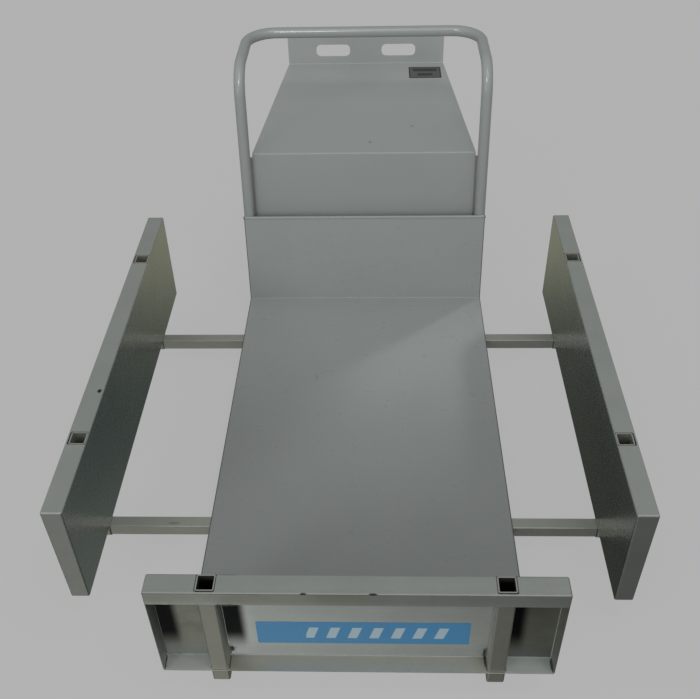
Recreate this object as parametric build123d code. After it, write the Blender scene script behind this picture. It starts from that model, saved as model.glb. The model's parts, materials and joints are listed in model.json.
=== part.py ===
from build123d import *
import math
import os

# Load bed of a tracked mini dumper: folded floor with headboard, guard hoop and
# engine hood, two side panels and a front gate on telescopic arms.
# Frame: millimetres, +Z up, the gate faces -Y, the hood lies towards +Y.
# Origin: centre of the four chassis bolt holes, on the underside of the rails.

# ---------------------------------------------------------------- dimensions
BED_HALF = 345.0          # half of the floor's width
FRONT_Y = -531.0          # floor's front edge
FOLD_Y = 530.0            # fold between the floor and the headboard
FLOOR_T = 2.5             # floor and headboard sheet
SKIRT = 25.0              # folded-down edge of the floor
HEAD_LEN = 265.0          # headboard, measured along its slope
LEAN = math.radians(8.0)  # headboard, hoop legs and hood front lean back
HEM = 16.0                # hem folded back on the headboard's top edge
BEAD_R = 4.0              # rolled bead along the hem

RAIL_W, RAIL_H, RAIL_T = 30.0, 50.0, 3.0
RAIL_X = 180.0
RAIL_Y0, RAIL_Y1 = -512.0, 574.0
BOLT_Y = 250.0            # chassis bolt rows at +-BOLT_Y on both rails
BOLT_R = 5.5              # hole for an M10 bolt

GUIDE, GUIDE_T = 35.0, 2.0
ARM, ARM_T = 30.0, 2.5
POST, POST_T = 35.0, 2.5
GUIDE_Z = RAIL_H + GUIDE / 2          # middle height of guides and arms
FLOOR_Z = RAIL_H + GUIDE + FLOOR_T    # floor's top face
ARM_YF, ARM_YR = -325.5, 347.0        # front and rear arms of the side panels
ARM_LEN = 347.0

SHEET = 2.0               # panels, gate and hood sheet
FLANGE = 44.0             # depth of the panels' top flanges
GATE_FLANGE = 43.0        # depth of the gate's top flange
FLANGE_LOW = 39.5         # depth of the bottom flanges
LIP = 35.0                # folded-down lip on the top flange
POCKET_GAP = 3.0          # gap in the top flange in front of each post
PANEL_Z0 = RAIL_H + (GUIDE + ARM) / 2  # underside of the bottom flange
PANEL_Z1 = FLOOR_Z + 267.0
PANEL_Y0, PANEL_Y1 = FRONT_Y, 561.0
LEFT_X = 575.5            # inner face of the left panel, pulled out
RIGHT_X = 535.0           # inner face of the right panel, pulled out part way
SIDE_OUT, SIDE_IN = 575.5, 348.0      # ends of the side panels' travel

GATE_Y = -666.0           # inner face of the gate, pulled out
GATE_Y_IN = -532.0
GATE_HALF = 385.0
GATE_Z0, GATE_Z1 = 87.0, 350.0
GATE_ARM_X = 272.0
GATE_ARM_END = -480.5     # inner end of the gate's arms

HOOP_X, HOOP_R, HOOP_T = 331.0, 15.0, 2.5
HOOP_OFF = 20.3           # leg's middle behind the headboard's front face
HOOP_Z = FLOOR_Z + 664.5  # level top part
HOOP_RUN = 267.0
HOOP_BEND = 80.0

HOOD_Z = FLOOR_Z + 431.0  # top plate
HOOD_FRONT_HALF = 312.0
HOOD_BACK_HALF = 255.0
HOOD_BACK_Y = FOLD_Y + 722.0
HOOD_LOW_Z = 217.0        # lower end of the hood's front face
HOOD_REAR_DEPTH = 60.0    # cheeks' depth at the rear
HOOD_FLANGE = 89.0
SLOT_X, SLOT_L, SLOT_H, SLOT_R = 107.0, 110.5, 39.0, 15.0
SLOT_Z = HOOD_Z + 45.0
PLATE_X, PLATE_Y, PLATE_W, PLATE_D = 192.0, 1173.0, 103.0, 86.0

LOCK_R = 5.0              # lock screw, M10
LOCK_X = 308.0            # lock screws of the side arms
LOCK_GATE_Y = -507.0
STOP_IN = 25.0            # stop bolt from the arm's inner end
STOP_GATE_IN = 15.0
STOP_R = 4.0

DECAL_X0, DECAL_X1, DECAL_Z0, DECAL_Z1 = -196.0, 218.0, 131.0, 203.0


# ------------------------------------------------------------------- helpers
def box(x0, x1, y0, y1, z0, z1):
    s = Box(x1 - x0, y1 - y0, z1 - z0)
    return Pos((x0 + x1) / 2, (y0 + y1) / 2, (z0 + z1) / 2) * s


def cyl(p, direction, r, length):
    """Cylinder that starts at p and runs along direction."""
    pl = Plane(origin=p, z_dir=direction)
    return pl * Cylinder(r, length, align=(Align.CENTER, Align.CENTER, Align.MIN))


def square_tube(size, wall, length, r_out, r_in):
    """Square tube along local Z, centred."""
    outer = extrude(RectangleRounded(size, size, r_out), length / 2, both=True)
    hole = extrude(RectangleRounded(size - 2 * wall, size - 2 * wall, r_in), length / 2 + 1, both=True)
    return outer - hole


def tube_x(size, wall, x0, x1, y, z, r_out=3.0, r_in=1.0):
    t = square_tube(size, wall, x1 - x0, r_out, r_in)
    return Pos((x0 + x1) / 2, y, z) * Rot(0, 90, 0) * t


def tube_y(size, wall, y0, y1, x, z, r_out=3.0, r_in=1.0):
    t = square_tube(size, wall, y1 - y0, r_out, r_in)
    return Pos(x, (y0 + y1) / 2, z) * Rot(90, 0, 0) * t


def post_tube(z0, z1, x, y):
    """Upright square tube, open at the top, with a plate that closes its foot."""
    t = square_tube(POST, POST_T, z1 - z0, 4.0, 2.0)
    foot = extrude(RectangleRounded(POST - POST_T, POST - POST_T, 2.5), 1.5, both=True)
    post = Pos(x, y, (z0 + z1) / 2) * t + Pos(x, y, z0 + 1.5) * foot
    sole = edges_near(post, lambda e: abs(e.center().Z - z0) < 0.01)
    return fillet(sole, 2.2)


def folded(points, t, r, to3d, sweep_vec):
    """Folded sheet: points run along its left face, the sheet lies on the right.
    Bends have inner radius r.  to3d maps (u, v) to a point in space."""
    def norm(a):
        m = math.hypot(*a)
        return (a[0] / m, a[1] / m)
    n = len(points)
    dirs = [norm((points[i + 1][0] - points[i][0], points[i + 1][1] - points[i][1])) for i in range(n - 1)]
    rights = [(d[1], -d[0]) for d in dirs]
    near = [("p", points[0])]
    far = [("p", (points[0][0] + rights[0][0] * t, points[0][1] + rights[0][1] * t))]
    for i in range(1, n - 1):
        d1, d2 = dirs[i - 1], dirs[i]
        turn = math.atan2(d1[0] * d2[1] - d1[1] * d2[0], d1[0] * d2[0] + d1[1] * d2[1])
        left = turn > 0
        rn = r if left else r + t
        tl = rn * math.tan(abs(turn) / 2)
        p1 = (points[i][0] - d1[0] * tl, points[i][1] - d1[1] * tl)
        p2 = (points[i][0] + d2[0] * tl, points[i][1] + d2[1] * tl)
        s = -1 if left else 1
        c = (p1[0] + rights[i - 1][0] * rn * s, p1[1] + rights[i - 1][1] * rn * s)

        def on(radius, p):
            v = norm((p[0] - c[0], p[1] - c[1]))
            return (c[0] + v[0] * radius, c[1] + v[1] * radius)
        mid = (p1[0] + p2[0]) / 2, (p1[1] + p2[1]) / 2
        rf = r + t if left else r
        near.append(("a", on(rn, p1), on(rn, mid), on(rn, p2)))
        far.append(("a", on(rf, p1), on(rf, mid), on(rf, p2)))
    near.append(("p", points[-1]))
    far.append(("p", (points[-1][0] + rights[-1][0] * t, points[-1][1] + rights[-1][1] * t)))

    edges = []

    def chain(items):
        last = items[0][1]
        for it in items[1:]:
            first = it[1]
            edges.append(Edge.make_line(to3d(*last), to3d(*first)))
            if it[0] == "a":
                edges.append(Edge.make_three_point_arc(to3d(*it[1]), to3d(*it[2]), to3d(*it[3])))
                last = it[3]
            else:
                last = it[1]
    chain(near)
    edges.append(Edge.make_line(to3d(*near[-1][1]), to3d(*far[-1][1])))
    back = []
    for it in reversed(far):
        back.append(it if it[0] == "p" else ("a", it[3], it[2], it[1]))
    chain(back)
    edges.append(Edge.make_line(to3d(*far[0][1]), to3d(*near[0][1])))
    face = Face(Wire(edges))
    return Part(children=[]) + Solid.extrude(face, Vector(*sweep_vec))


def hexagon_prism(p, direction, across_flats, length):
    pl = Plane(origin=p, z_dir=direction)
    sk = pl * RegularPolygon(across_flats / math.sqrt(3), 6)
    return extrude(sk, length, dir=Vector(*direction))


def hex_bolt(p, direction, r, shank, af, head):
    """Head starts at p and rises along direction, the shank runs the other way."""
    d = Vector(*direction)
    return hexagon_prism(p, direction, af, head) + cyl(p, tuple(-d), r, shank)


def mirror_x(part):
    return mirror(part, about=Plane.YZ)


def edges_near(part, test):
    return [e for e in part.edges() if test(e)]


os.makedirs("parts", exist_ok=True)
NODES = {}


def keep(name, shape):
    NODES[name] = shape


# -------------------------------------------------------------------- floor
E_UP = (math.sin(LEAN), math.cos(LEAN))      # up along the headboard, in (Y, Z)
E_BACK = (math.cos(LEAN), -math.sin(LEAN))   # square to it, backwards


def head_point(up, back):
    """Point (Y, Z) that lies up the headboard's front face and back from it."""
    return (FOLD_Y + up * E_UP[0] + back * E_BACK[0],
            FLOOR_Z + up * E_UP[1] + back * E_BACK[1])


BEAD_UP = HEAD_LEN - 4.0
top = head_point(BEAD_UP, 0)
profile = [(FRONT_Y, FLOOR_Z - SKIRT - FLOOR_T), (FRONT_Y, FLOOR_Z), (FOLD_Y, FLOOR_Z), top]
pan = folded(profile, FLOOR_T, 3.0, lambda u, v: (-BED_HALF, u, v), (2 * BED_HALF, 0, 0))
# hem: the top edge folded back on itself around a rolled bead
hem_face = [head_point(BEAD_UP - HEM, FLOOR_T), head_point(BEAD_UP, FLOOR_T),
            head_point(BEAD_UP, 2 * FLOOR_T), head_point(BEAD_UP - HEM, 2 * FLOOR_T)]
hem = Solid.extrude(Face(Wire.make_polygon([(-BED_HALF, *p) for p in hem_face], close=True)),
                    Vector(2 * BED_HALF, 0, 0))
bead = cyl((-BED_HALF - 1.2, *head_point(BEAD_UP, 1.2)), (1, 0, 0), BEAD_R, 2 * BED_HALF + 2.4)
bead = fillet(bead.edges().filter_by(GeomType.CIRCLE), 1.0)
pan = pan + hem + bead
for s in (-1, 1):
    x0, x1 = sorted((s * (BED_HALF - FLOOR_T), s * BED_HALF))
    pan = pan + box(x0, x1, FRONT_Y + 6, FOLD_Y - 4, FLOOR_Z - SKIRT - FLOOR_T, FLOOR_Z - 0.5)
for y in (ARM_YF, ARM_YR):
    for s in (-1, 1):
        pan = pan - box(s * BED_HALF - 10, s * BED_HALF + 10, y - GUIDE / 2 - 0.6, y + GUIDE / 2 + 0.6,
                        RAIL_H - 1, RAIL_H + GUIDE)
for s in (-1, 1):
    pan = pan - box(s * GATE_ARM_X - GUIDE / 2 - 0.6, s * GATE_ARM_X + GUIDE / 2 + 0.6, FRONT_Y - 10, FRONT_Y + 10,
                    RAIL_H - 1, RAIL_H + GUIDE)
side_edges = edges_near(pan, lambda e: abs(abs(e.center().X) - BED_HALF) < 0.01
                        and abs(e.center().Z - FLOOR_Z) < 0.6 and e.length > 900)
pan = fillet(side_edges, 2.0) if side_edges else pan
keep("floor_pan", pan)

# --------------------------------------------------------- rails and guides
for s, name in ((-1, "left_rail"), (1, "right_rail")):
    outer = extrude(RectangleRounded(RAIL_W, RAIL_H, 4.0), (RAIL_Y1 - RAIL_Y0) / 2, both=True)
    inner = extrude(RectangleRounded(RAIL_W - 2 * RAIL_T, RAIL_H - 2 * RAIL_T, 1.5), (RAIL_Y1 - RAIL_Y0) / 2 + 1, both=True)
    rail = Pos(s * RAIL_X, (RAIL_Y0 + RAIL_Y1) / 2, RAIL_H / 2) * Rot(90, 0, 0) * (outer - inner)
    for y in (-BOLT_Y, BOLT_Y):
        rail = rail - cyl((s * RAIL_X, y, -1), (0, 0, 1), BOLT_R, RAIL_H + 2)
    keep(name, rail)

caps = []
for s in (-1, 1):
    for y, d in ((RAIL_Y0, -1), (RAIL_Y1, 1)):
        plate = Pos(s * RAIL_X, y + d * 1.5, RAIL_H / 2) * Rot(90, 0, 0) * extrude(
            RectangleRounded(RAIL_W, RAIL_H, 4.0), 1.5, both=True)
        plug = Pos(s * RAIL_X, y - d * 6, RAIL_H / 2) * Box(RAIL_W - 2 * RAIL_T - 0.6, 12, RAIL_H - 2 * RAIL_T - 0.6)
        plug = fillet(plug.edges().filter_by(Axis.Y), 1.5)
        caps.append(plate + plug)
keep("rail_end_caps", caps)


def side_guide(y, slot_side):
    g = tube_x(GUIDE, GUIDE_T, -BED_HALF, BED_HALF, y, GUIDE_Z)
    stop_out = SIDE_OUT + SHEET - ARM_LEN + STOP_IN
    stop_in = SIDE_IN + SHEET - ARM_LEN + STOP_IN
    yw = y + slot_side * (GUIDE / 2 - GUIDE_T / 2)
    for s in (-1, 1):
        a, b = stop_in - 1.0, stop_out + 1.0
        h = STOP_R + 0.5
        g = g - box(min(s * a, s * b), max(s * a, s * b), yw - 3, yw + 3, GUIDE_Z - h, GUIDE_Z + h)
        for x in (a, b):
            g = g - cyl((s * x, yw - 3, GUIDE_Z), (0, 1, 0), h, 6)
        g = g - cyl((s * LOCK_X, y, RAIL_H - 1), (0, 0, 1), LOCK_R + 0.5, GUIDE_T + 2)
    return g


keep("front_guide_tube", side_guide(ARM_YF, 1))
keep("rear_guide_tube", side_guide(ARM_YR, -1))

GUIDE_FRONT = ARM_YF - GUIDE / 2
for s, name in ((-1, "gate_guide_left"), (1, "gate_guide_right")):
    g = tube_y(GUIDE, GUIDE_T, FRONT_Y, GUIDE_FRONT, s * GATE_ARM_X, GUIDE_Z)
    travel = GATE_Y_IN - GATE_Y
    a = GATE_ARM_END - STOP_GATE_IN - 1.0
    b = a + travel + 2.0
    h = STOP_R + 0.5
    xw = s * (GATE_ARM_X - GUIDE / 2 + GUIDE_T / 2)
    g = g - box(xw - 3, xw + 3, a, b, GUIDE_Z - h, GUIDE_Z + h)
    for y in (a, b):
        g = g - cyl((xw - 3, y, GUIDE_Z), (1, 0, 0), h, 6)
    g = g - cyl((s * GATE_ARM_X, LOCK_GATE_Y, RAIL_H - 1), (0, 0, 1), LOCK_R + 0.5, GUIDE_T + 2)
    keep(name, g)

keep("mid_cross_member", tube_x(GUIDE, GUIDE_T, -BED_HALF + FLOOR_T + 0.5, BED_HALF - FLOOR_T - 0.5, 15.0, GUIDE_Z))
REAR_Y = FOLD_Y + 2.5 + GUIDE / 2
keep("rear_cross_member", tube_x(GUIDE, GUIDE_T, -BED_HALF, BED_HALF, REAR_Y, GUIDE_Z))

# ------------------------------------------------------------- side panels
def tray(depth, length, height):
    """Folded tray: flat face at local x = 0 looking to -x, flanges towards +x,
    length along y (centred), height along z from 0, lip down from the top flange.
    The end flanges taper from the top flange's depth to the bottom flange's."""
    def prism(x0, low, high, z0, z1, half):
        pts = [(x0, -half, z0), (low, -half, z0), (high, -half, z1), (x0, -half, z1)]
        return Part(children=[]) + Solid.extrude(Face(Wire.make_polygon(pts, close=True)), Vector(0, 2 * half, 0))

    def outer(z):
        return FLANGE_LOW + (depth - FLANGE_LOW) * z / height

    def fold_edges(part, x0, z0, z1, half):
        """Edges of the flat face, and the four that run from it along the flanges' corners."""
        return edges_near(part, lambda e: e.center().X < x0 + 0.01
                          or (abs(abs(e.center().Y) - half) < 0.01
                              and min(abs(e.center().Z - z0), abs(e.center().Z - z1)) < 0.01))
    body = prism(0, FLANGE_LOW, depth, 0, height, length / 2)
    body = fillet(fold_edges(body, 0, 0, height, length / 2), 4.0)
    top_edge = edges_near(body, lambda e: abs(e.center().X - depth) < 0.01 and abs(e.center().Z - height) < 0.01)
    body = fillet(top_edge, 3.0)
    hollow = prism(SHEET, outer(SHEET) - SHEET, outer(height - SHEET) - SHEET, SHEET, height - SHEET, length / 2 - SHEET)
    hollow = fillet(fold_edges(hollow, SHEET, SHEET, height - SHEET, length / 2 - SHEET), 2.0)
    mouth = box(FLANGE_LOW - SHEET - 1, depth + 1, -length / 2 + SHEET, length / 2 - SHEET, SHEET, height - LIP)
    mouth = fillet([e for e in mouth.edges().filter_by(Axis.X) if e.center().Z < height / 2], 2.0)
    return body - hollow - mouth


def square_hole(x, y, z0, z1, size, r):
    return Pos(x, y, (z0 + z1) / 2) * extrude(RectangleRounded(size, size, r), (z1 - z0) / 2, both=True)


def top_hole(x, y, z, size_x, size_y):
    """Hole in a top flange for a post, with a gap left in front of the post."""
    return Pos(x, y, z) * extrude(RectangleRounded(size_x, size_y, 4.0), SHEET + 2.2, both=True)


PANEL_LEN = PANEL_Y1 - PANEL_Y0
PANEL_MID = (PANEL_Y0 + PANEL_Y1) / 2
POST_C = SHEET + POST / 2           # post's middle from the tray's flat face


def side(sign, face_x, prefix):
    """sign -1: left panel, flat face looks to +X.  sign 1: right panel."""
    t = tray(FLANGE, PANEL_LEN, PANEL_Z1 - PANEL_Z0)
    if sign < 0:
        t = mirror_x(t)
    t = Pos(sign * face_x, PANEL_MID, PANEL_Z0) * t
    px = sign * (face_x + POST_C)
    stops = []
    for y, place in ((ARM_YF, "front"), (ARM_YR, "rear")):
        t = t - top_hole(px + sign * POCKET_GAP / 2, y, PANEL_Z1, POST + POCKET_GAP, POST + 1.2)
        t = t - square_hole(px + sign * 0.3, y, PANEL_Z0 - 1, PANEL_Z0 + SHEET + 2.2, POST + 0.6, 4.0)
        # the post's back wall stays clear of the bends at the flat face
        post = post_tube(GUIDE_Z - ARM / 2, PANEL_Z1, px, y)
        keep(f"{prefix}_{place}_post", post - t)
        a, b = sign * (face_x + SHEET), sign * (face_x + SHEET - ARM_LEN)
        arm = tube_x(ARM, ARM_T, min(a, b), max(a, b), y, GUIDE_Z)
        sx = sign * (face_x + SHEET - ARM_LEN + STOP_IN)
        d = 1 if place == "front" else -1
        arm = arm - cyl((sx, y, GUIDE_Z), (0, d, 0), STOP_R + 0.1, ARM)
        keep(f"{prefix}_{place}_arm", arm)
        head_y = y + d * (GUIDE / 2 + 0.5)
        stops.append(hex_bolt((sx, head_y, GUIDE_Z), (0, d, 0), STOP_R, GUIDE / 2 + 0.5 - ARM / 2 + ARM_T + 3, 13.0, 5.3))
    keep(f"{prefix}_panel", t)
    keep(f"{prefix}_stop_bolts", stops)


side(-1, LEFT_X, "left")
side(1, RIGHT_X, "right")

# -------------------------------------------------------------- front gate
gate = tray(GATE_FLANGE, 2 * GATE_HALF, GATE_Z1 - GATE_Z0)
gate = Pos(0, GATE_Y, GATE_Z0) * Rot(0, 0, -90) * gate
stops = []
for s, place in ((-1, "left"), (1, "right")):
    x, py = s * GATE_ARM_X, GATE_Y - POST_C
    gate = gate - top_hole(x, py - POCKET_GAP / 2, GATE_Z1, POST + 1.2, POST + POCKET_GAP)
    gate = gate - square_hole(x, py - 0.3, GATE_Z0 - 1, GATE_Z0 + SHEET + 2.2, POST + 0.6, 4.0)
for s, place in ((-1, "left"), (1, "right")):
    x, py = s * GATE_ARM_X, GATE_Y - POST_C
    keep(f"gate_{place}_post", post_tube(GUIDE_Z - ARM / 2, GATE_Z1, x, py) - gate)
    arm = tube_y(ARM, ARM_T, GATE_Y - SHEET, GATE_ARM_END, x, GUIDE_Z)
    sy = GATE_ARM_END - STOP_GATE_IN
    arm = arm - cyl((x, sy, GUIDE_Z), (-s, 0, 0), STOP_R + 0.1, ARM)
    keep(f"gate_{place}_arm", arm)
    stops.append(hex_bolt((x - s * (GUIDE / 2 + 0.5), sy, GUIDE_Z), (-s, 0, 0), STOP_R,
                          GUIDE / 2 + 0.5 - ARM / 2 + ARM_T + 3, 13.0, 5.3))
keep("front_gate", gate)
keep("gate_stop_bolts", stops)
decal = box(DECAL_X0, DECAL_X1, GATE_Y - SHEET - 0.4, GATE_Y - SHEET, DECAL_Z0, DECAL_Z1)
decal = fillet(decal.edges().filter_by(Axis.Y), 3.0)
keep("gate_decal", decal)

# --------------------------------------------------------------- guard hoop
def leg_y(z):
    return FOLD_Y + (z - FLOOR_Z) * math.tan(LEAN) + HOOP_OFF / math.cos(LEAN)


FOOT_T = 5.0
FOOT_Z = RAIL_H + GUIDE + FOOT_T
corner_b = Vector(HOOP_X, leg_y(HOOP_Z), HOOP_Z)
corner_t = Vector(HOOP_X, leg_y(HOOP_Z) + HOOP_RUN, HOOP_Z)
start = Vector(HOOP_X, leg_y(FOOT_Z - 20), FOOT_Z - 20)
route = [start, corner_b, corner_t]
route += [Vector(-p.X, p.Y, p.Z) for p in reversed(route)]
edges = []
last = route[0]
for i in range(1, len(route) - 1):
    a = (route[i - 1] - route[i]).normalized()
    b = (route[i + 1] - route[i]).normalized()
    half = math.acos(max(-1.0, min(1.0, a.dot(b)))) / 2
    tl = HOOP_BEND / math.tan(half)
    p1, p2 = route[i] + a * tl, route[i] + b * tl
    bis = (a + b).normalized()
    centre = route[i] + bis * (HOOP_BEND / math.sin(half))
    mid = centre - bis * HOOP_BEND
    edges += [Edge.make_line(last, p1), Edge.make_three_point_arc(p1, mid, p2)]
    last = p2
edges.append(Edge.make_line(last, route[-1]))
path = Wire(edges)
pl = Plane(origin=start, z_dir=(corner_b - start).normalized())
hoop = sweep(pl * Circle(HOOP_R), path=path) - sweep(pl * Circle(HOOP_R - HOOP_T), path=path)
hoop = hoop - box(-400, 400, 400, 700, FOOT_Z - 60, FOOT_Z)
keep("guard_hoop", hoop)

foot_bolts = []
for s, name in ((-1, "hoop_foot_left"), (1, "hoop_foot_right")):
    x0, x1 = sorted((s * 258.0, s * 344.0))
    foot = box(x0, x1, FOLD_Y + 5.5, REAR_Y + GUIDE / 2, RAIL_H + GUIDE, FOOT_Z)
    foot = fillet(foot.edges().filter_by(Axis.Z), 3.0)
    for x in (272.0, 297.0):
        foot = foot - cyl((s * x, REAR_Y + 1, RAIL_H), (0, 0, 1), 4.3, 60)
        foot_bolts.append(hex_bolt((s * x, REAR_Y + 1, FOOT_Z), (0, 0, 1), 4.0, FOOT_T + GUIDE_T + 10, 13.0, 5.3))
    keep(name, foot)
cross = NODES["rear_cross_member"]
for s in (-1, 1):
    for x in (272.0, 297.0):
        cross = cross - cyl((s * x, REAR_Y + 1, RAIL_H + GUIDE - GUIDE_T - 1), (0, 0, 1), 4.2, GUIDE_T + 3)
keep("rear_cross_member", cross)
keep("hoop_foot_bolts", foot_bolts)

# ---------------------------------------------------------------------- hood
HOOD_OFF = HOOP_OFF + HOOP_R        # hood's front face, level with the legs' backs


def up_at(z, back):
    """How far up the headboard's slope the line at this offset reaches height z."""
    return (z - FLOOR_Z - back * E_BACK[1]) / E_UP[1]


low = head_point(up_at(HOOD_LOW_Z, HOOD_OFF), HOOD_OFF)
front_top = head_point(up_at(HOOD_Z, HOOD_OFF), HOOD_OFF)
hood_profile = [low, front_top, (HOOD_BACK_Y, HOOD_Z), (HOOD_BACK_Y, HOOD_Z + HOOD_FLANGE)]
shell = folded(hood_profile, SHEET, 3.0, lambda u, v: (-400, u, v), (800, 0, 0))
slope = (HOOD_FRONT_HALF - HOOD_BACK_HALF) / (HOOD_BACK_Y - front_top[0])
plan = [(-HOOD_FRONT_HALF, 500), (HOOD_FRONT_HALF, 500), (HOOD_FRONT_HALF, front_top[0]), (HOOD_BACK_HALF, HOOD_BACK_Y),
        (HOOD_BACK_HALF, 1400), (-HOOD_BACK_HALF, 1400), (-HOOD_BACK_HALF, HOOD_BACK_Y), (-HOOD_FRONT_HALF, front_top[0])]
plan_solid = Solid.extrude(Face(Wire.make_polygon([(x, y, 0) for x, y in plan], close=True)), Vector(0, 0, 900))
shell = shell & plan_solid
# cheeks: the sides of the hood folded down, deep at the front, shallow at the rear
side_view = [(low[0] + 3, HOOD_LOW_Z + 3), (front_top[0] + 0.5, HOOD_Z - 0.5), (HOOD_BACK_Y, HOOD_Z - 0.5),
             (HOOD_BACK_Y, HOOD_Z - HOOD_REAR_DEPTH), (low[0] + 90, HOOD_LOW_Z + 3)]
cheek_view = Solid.extrude(Face(Wire.make_polygon([(-400, y, z) for y, z in side_view], close=True)), Vector(800, 0, 0))
inner_plan = [(-HOOD_FRONT_HALF + SHEET, 500), (HOOD_FRONT_HALF - SHEET, 500), (HOOD_FRONT_HALF - SHEET, front_top[0]),
              (HOOD_BACK_HALF - SHEET, HOOD_BACK_Y), (HOOD_BACK_HALF - SHEET, 1400), (-HOOD_BACK_HALF + SHEET, 1400),
              (-HOOD_BACK_HALF + SHEET, HOOD_BACK_Y), (-HOOD_FRONT_HALF + SHEET, front_top[0])]
inner_solid = Solid.extrude(Face(Wire.make_polygon([(x, y, 0) for x, y in inner_plan], close=True)), Vector(0, 0, 900))
cheeks = (Part(children=[]) + cheek_view & plan_solid) - inner_solid
hood = shell + cheeks
for s in (-1, 1):
    slot = Pos(s * SLOT_X, HOOD_BACK_Y, SLOT_Z) * Rot(90, 0, 0) * extrude(
        RectangleRounded(SLOT_L, SLOT_H, SLOT_R), 20, both=True)
    hood = hood - slot
flange_corners = edges_near(hood, lambda e: abs(e.center().Z - HOOD_Z - HOOD_FLANGE) < 0.01 and e.length < SHEET + 0.1)
hood = fillet(flange_corners, 3.0)

# hood brackets: plates on the backs of the hoop's legs, hidden behind the headboard
lean_plane = Plane(origin=(0, FOLD_Y, FLOOR_Z), x_dir=(1, 0, 0), z_dir=(0, -math.cos(LEAN), math.sin(LEAN)))


def leaning_box(x0, x1, up0, up1, back0, back1):
    b = Pos((x0 + x1) / 2, (up0 + up1) / 2, -(back0 + back1) / 2) * Box(x1 - x0, up1 - up0, back1 - back0)
    return lean_plane * b


BOLT_UPS = (165.0, 215.0)
BAR_UP = 428.0                      # upper end of the brackets' bars
hood_bolts, hood_nuts = [], []
d_front = (0, -math.cos(LEAN), math.sin(LEAN))
d_back = (0, math.cos(LEAN), -math.sin(LEAN))
for s, name in ((-1, "hood_bracket_left"), (1, "hood_bracket_right")):
    x0, x1 = sorted((s * 272.0, s * 343.0))
    w0, w1 = sorted((s * 313.0, s * 343.0))
    bracket = leaning_box(x0, x1, 140, 240, HOOD_OFF + SHEET, HOOD_OFF + SHEET + 4)
    bracket = bracket + leaning_box(w0, w1, 140, 240, HOOP_OFF + 4, HOOD_OFF + SHEET + 4)
    # the bracket goes on upwards as a bar that closes the gap beside the hood's front
    b0, b1 = sorted((s * 300.0, s * 343.0))
    v0, v1 = sorted((s * 321.0, s * 343.0))
    bracket = bracket + leaning_box(b0, b1, 239, BAR_UP, HOOD_OFF + SHEET, HOOD_OFF + SHEET + 4)
    bracket = bracket + leaning_box(v0, v1, 239, BAR_UP, HOOP_OFF + 4, HOOD_OFF + SHEET + 4)
    leg = cyl((s * HOOP_X, leg_y(FLOOR_Z), FLOOR_Z), (0, E_UP[0], E_UP[1]), HOOP_R + 0.05, 470)
    bracket = bracket - leg
    # notch in the cheek, where the bracket passes it
    c0, c1 = sorted((s * (HOOD_FRONT_HALF - SHEET - 1.0), s * (HOOD_FRONT_HALF + 1.0)))
    hood = hood - leaning_box(c0, c1, 138, BAR_UP + 2, HOOD_OFF + SHEET, HOOD_OFF + SHEET + 5)
    bx = s * 290.0
    for up in BOLT_UPS:
        y, z = head_point(up, HOOD_OFF)
        hole = cyl((bx, *head_point(up, HOOD_OFF - 5)), d_back, 4.3, 30)
        bracket = bracket - hole
        hood = hood - hole
        hood_bolts.append(hex_bolt((bx, y, z), d_front, 4.0, SHEET + 4 + 9, 13.0, 5.3))
        yb, zb = head_point(up, HOOD_OFF + SHEET + 4)
        nut = hexagon_prism((bx, yb, zb), d_back, 13.0, 6.5) - cyl((bx, y, z), d_back, 4.05, 40)
        hood_nuts.append(nut)
    NODES[name] = bracket
keep("engine_hood", hood)
keep("hood_bolts", hood_bolts)
keep("hood_nuts", hood_nuts)

plate = box(PLATE_X - PLATE_W / 2, PLATE_X + PLATE_W / 2, PLATE_Y - PLATE_D / 2, PLATE_Y + PLATE_D / 2, HOOD_Z, HOOD_Z + 0.6)
plate = fillet(plate.edges().filter_by(Axis.Z), 3.0)
keep("rating_plate", plate)

# -------------------------------------------------------------- lock screws
PLACES = {
    "left_front_lock_screw": (-LOCK_X, ARM_YF),
    "left_rear_lock_screw": (-LOCK_X, ARM_YR),
    "right_front_lock_screw": (LOCK_X, ARM_YF),
    "right_rear_lock_screw": (LOCK_X, ARM_YR),
    "gate_left_lock_screw": (-GATE_ARM_X, LOCK_GATE_Y),
    "gate_right_lock_screw": (GATE_ARM_X, LOCK_GATE_Y),
}
NUT_H = 8.0
TIP_Z = RAIL_H + GUIDE_T + 0.1
nuts = []
for name, (x, y) in PLACES.items():
    nut = hexagon_prism((x, y, RAIL_H - NUT_H), (0, 0, 1), 17.0, NUT_H)
    nuts.append(nut - cyl((x, y, RAIL_H - NUT_H - 1), (0, 0, 1), LOCK_R + 0.08, NUT_H + 2))
    shank = cyl((x, y, 20), (0, 0, 1), LOCK_R, TIP_Z - 20)
    tip = edges_near(shank, lambda e: e.center().Z > TIP_Z - 0.1)
    shank = chamfer(tip, 1.2)
    hub = cyl((x, y, 11), (0, 0, 1), 8.0, 15)
    hub = fillet(hub.edges().filter_by(GeomType.CIRCLE), 1.5)
    bar = cyl((x - 29, y, 18.5), (1, 0, 0), 4.0, 58)
    bar = fillet(bar.edges().filter_by(GeomType.CIRCLE), 2.0)
    keep(name, shank + hub + bar)
keep("lock_nuts", nuts)

# ------------------------------------------------------------------- export
for name, shape in NODES.items():
    if isinstance(shape, list):
        shape = Compound(children=[Compound(list(x.solids())) if len(x.solids()) > 1 else x.solid() for x in shape])
    else:
        solids = list(shape.solids())
        shape = solids[0] if len(solids) == 1 else Compound(solids)
    export_step(shape, os.path.join("parts", name + ".step"))
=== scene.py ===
import json
import math
import random

import bmesh
import bpy
from mathutils import Matrix, Quaternion, Vector


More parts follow.
